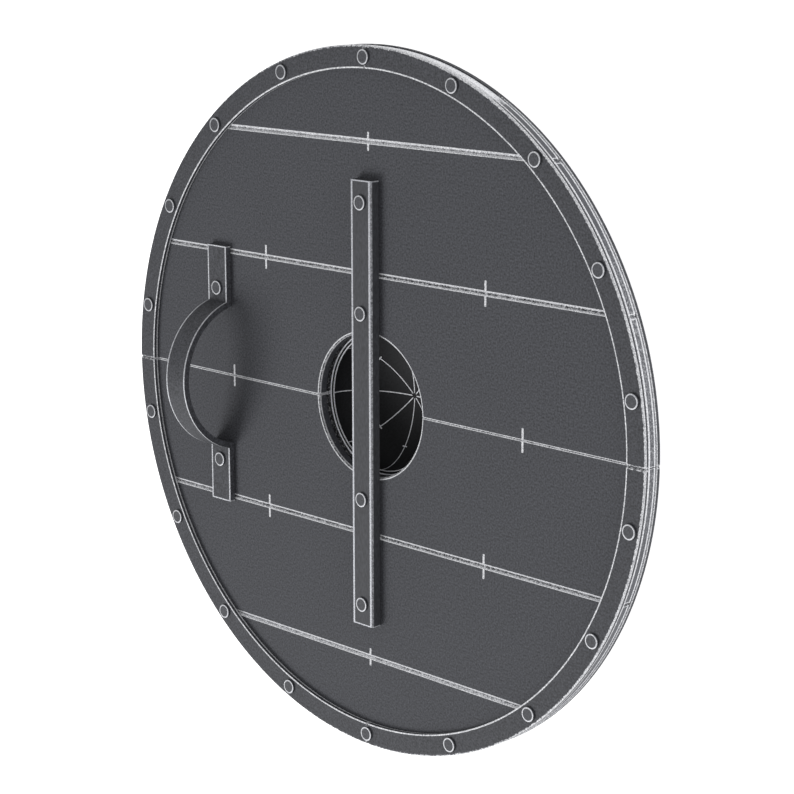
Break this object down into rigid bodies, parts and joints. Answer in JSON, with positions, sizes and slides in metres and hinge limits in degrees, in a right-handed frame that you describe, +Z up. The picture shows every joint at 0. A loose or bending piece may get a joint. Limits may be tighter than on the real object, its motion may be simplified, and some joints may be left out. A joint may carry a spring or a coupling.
{
  "type": "buckler shield",
  "caption": "Round plank shield with a flanged boss, riveted rim plates, a grip bar across its hand hole and an arm loop, lying boss down with its back up.",
  "frame": {"origin": "middle of the small flat spot of the boss, where it rests on the floor", "axes": "+Z up from the floor, out of the shield's back; +X along the planks, away from the arm loop; +Y along the grip bar"},
  "size_m": [0.5957, 0.6, 0.1075],
  "materials": {
    "stained_planks": "charcoal-stained planks, worn pale along the seams",
    "rim_iron": "blackened iron plate, worn bright along its edges",
    "boss_iron": "blackened iron, scribed with pale lines",
    "grip_iron": "smooth blackened iron with bright edges",
    "rivet_iron": "blackened iron heads with bright rims"
  },
  "bodies": {
    "root": {"plank_1": "stained_planks", "plank_2": "stained_planks", "plank_3": "stained_planks", "plank_4": "stained_planks", "plank_5": "stained_planks", "plank_6": "stained_planks", "back_rim_quarter_1": "rim_iron", "back_rim_quarter_2": "rim_iron", "back_rim_quarter_3": "rim_iron", "back_rim_quarter_4": "rim_iron", "front_rim_quarter_1": "rim_iron", "front_rim_quarter_2": "rim_iron", "front_rim_quarter_3": "rim_iron", "front_rim_quarter_4": "rim_iron", "boss": "boss_iron", "grip_bar": "grip_iron", "arm_loop": "grip_iron", "rim_rivet_1": "rivet_iron", "rim_rivet_2": "rivet_iron", "rim_rivet_3": "rivet_iron", "rim_rivet_4": "rivet_iron", "rim_rivet_5": "rivet_iron", "rim_rivet_6": "rivet_iron", "rim_rivet_7": "rivet_iron", "rim_rivet_8": "rivet_iron", "rim_rivet_9": "rivet_iron", "rim_rivet_10": "rivet_iron", "rim_rivet_11": "rivet_iron", "rim_rivet_12": "rivet_iron", "rim_rivet_13": "rivet_iron", "rim_rivet_14": "rivet_iron", "rim_rivet_15": "rivet_iron", "rim_rivet_16": "rivet_iron", "rim_rivet_17": "rivet_iron", "rim_rivet_18": "rivet_iron", "bar_rivet_1": "rivet_iron", "bar_rivet_2": "rivet_iron", "bar_rivet_3": "rivet_iron", "bar_rivet_4": "rivet_iron", "loop_rivet_1": "rivet_iron", "loop_rivet_2": "rivet_iron"}
  },
  "joints": []
}
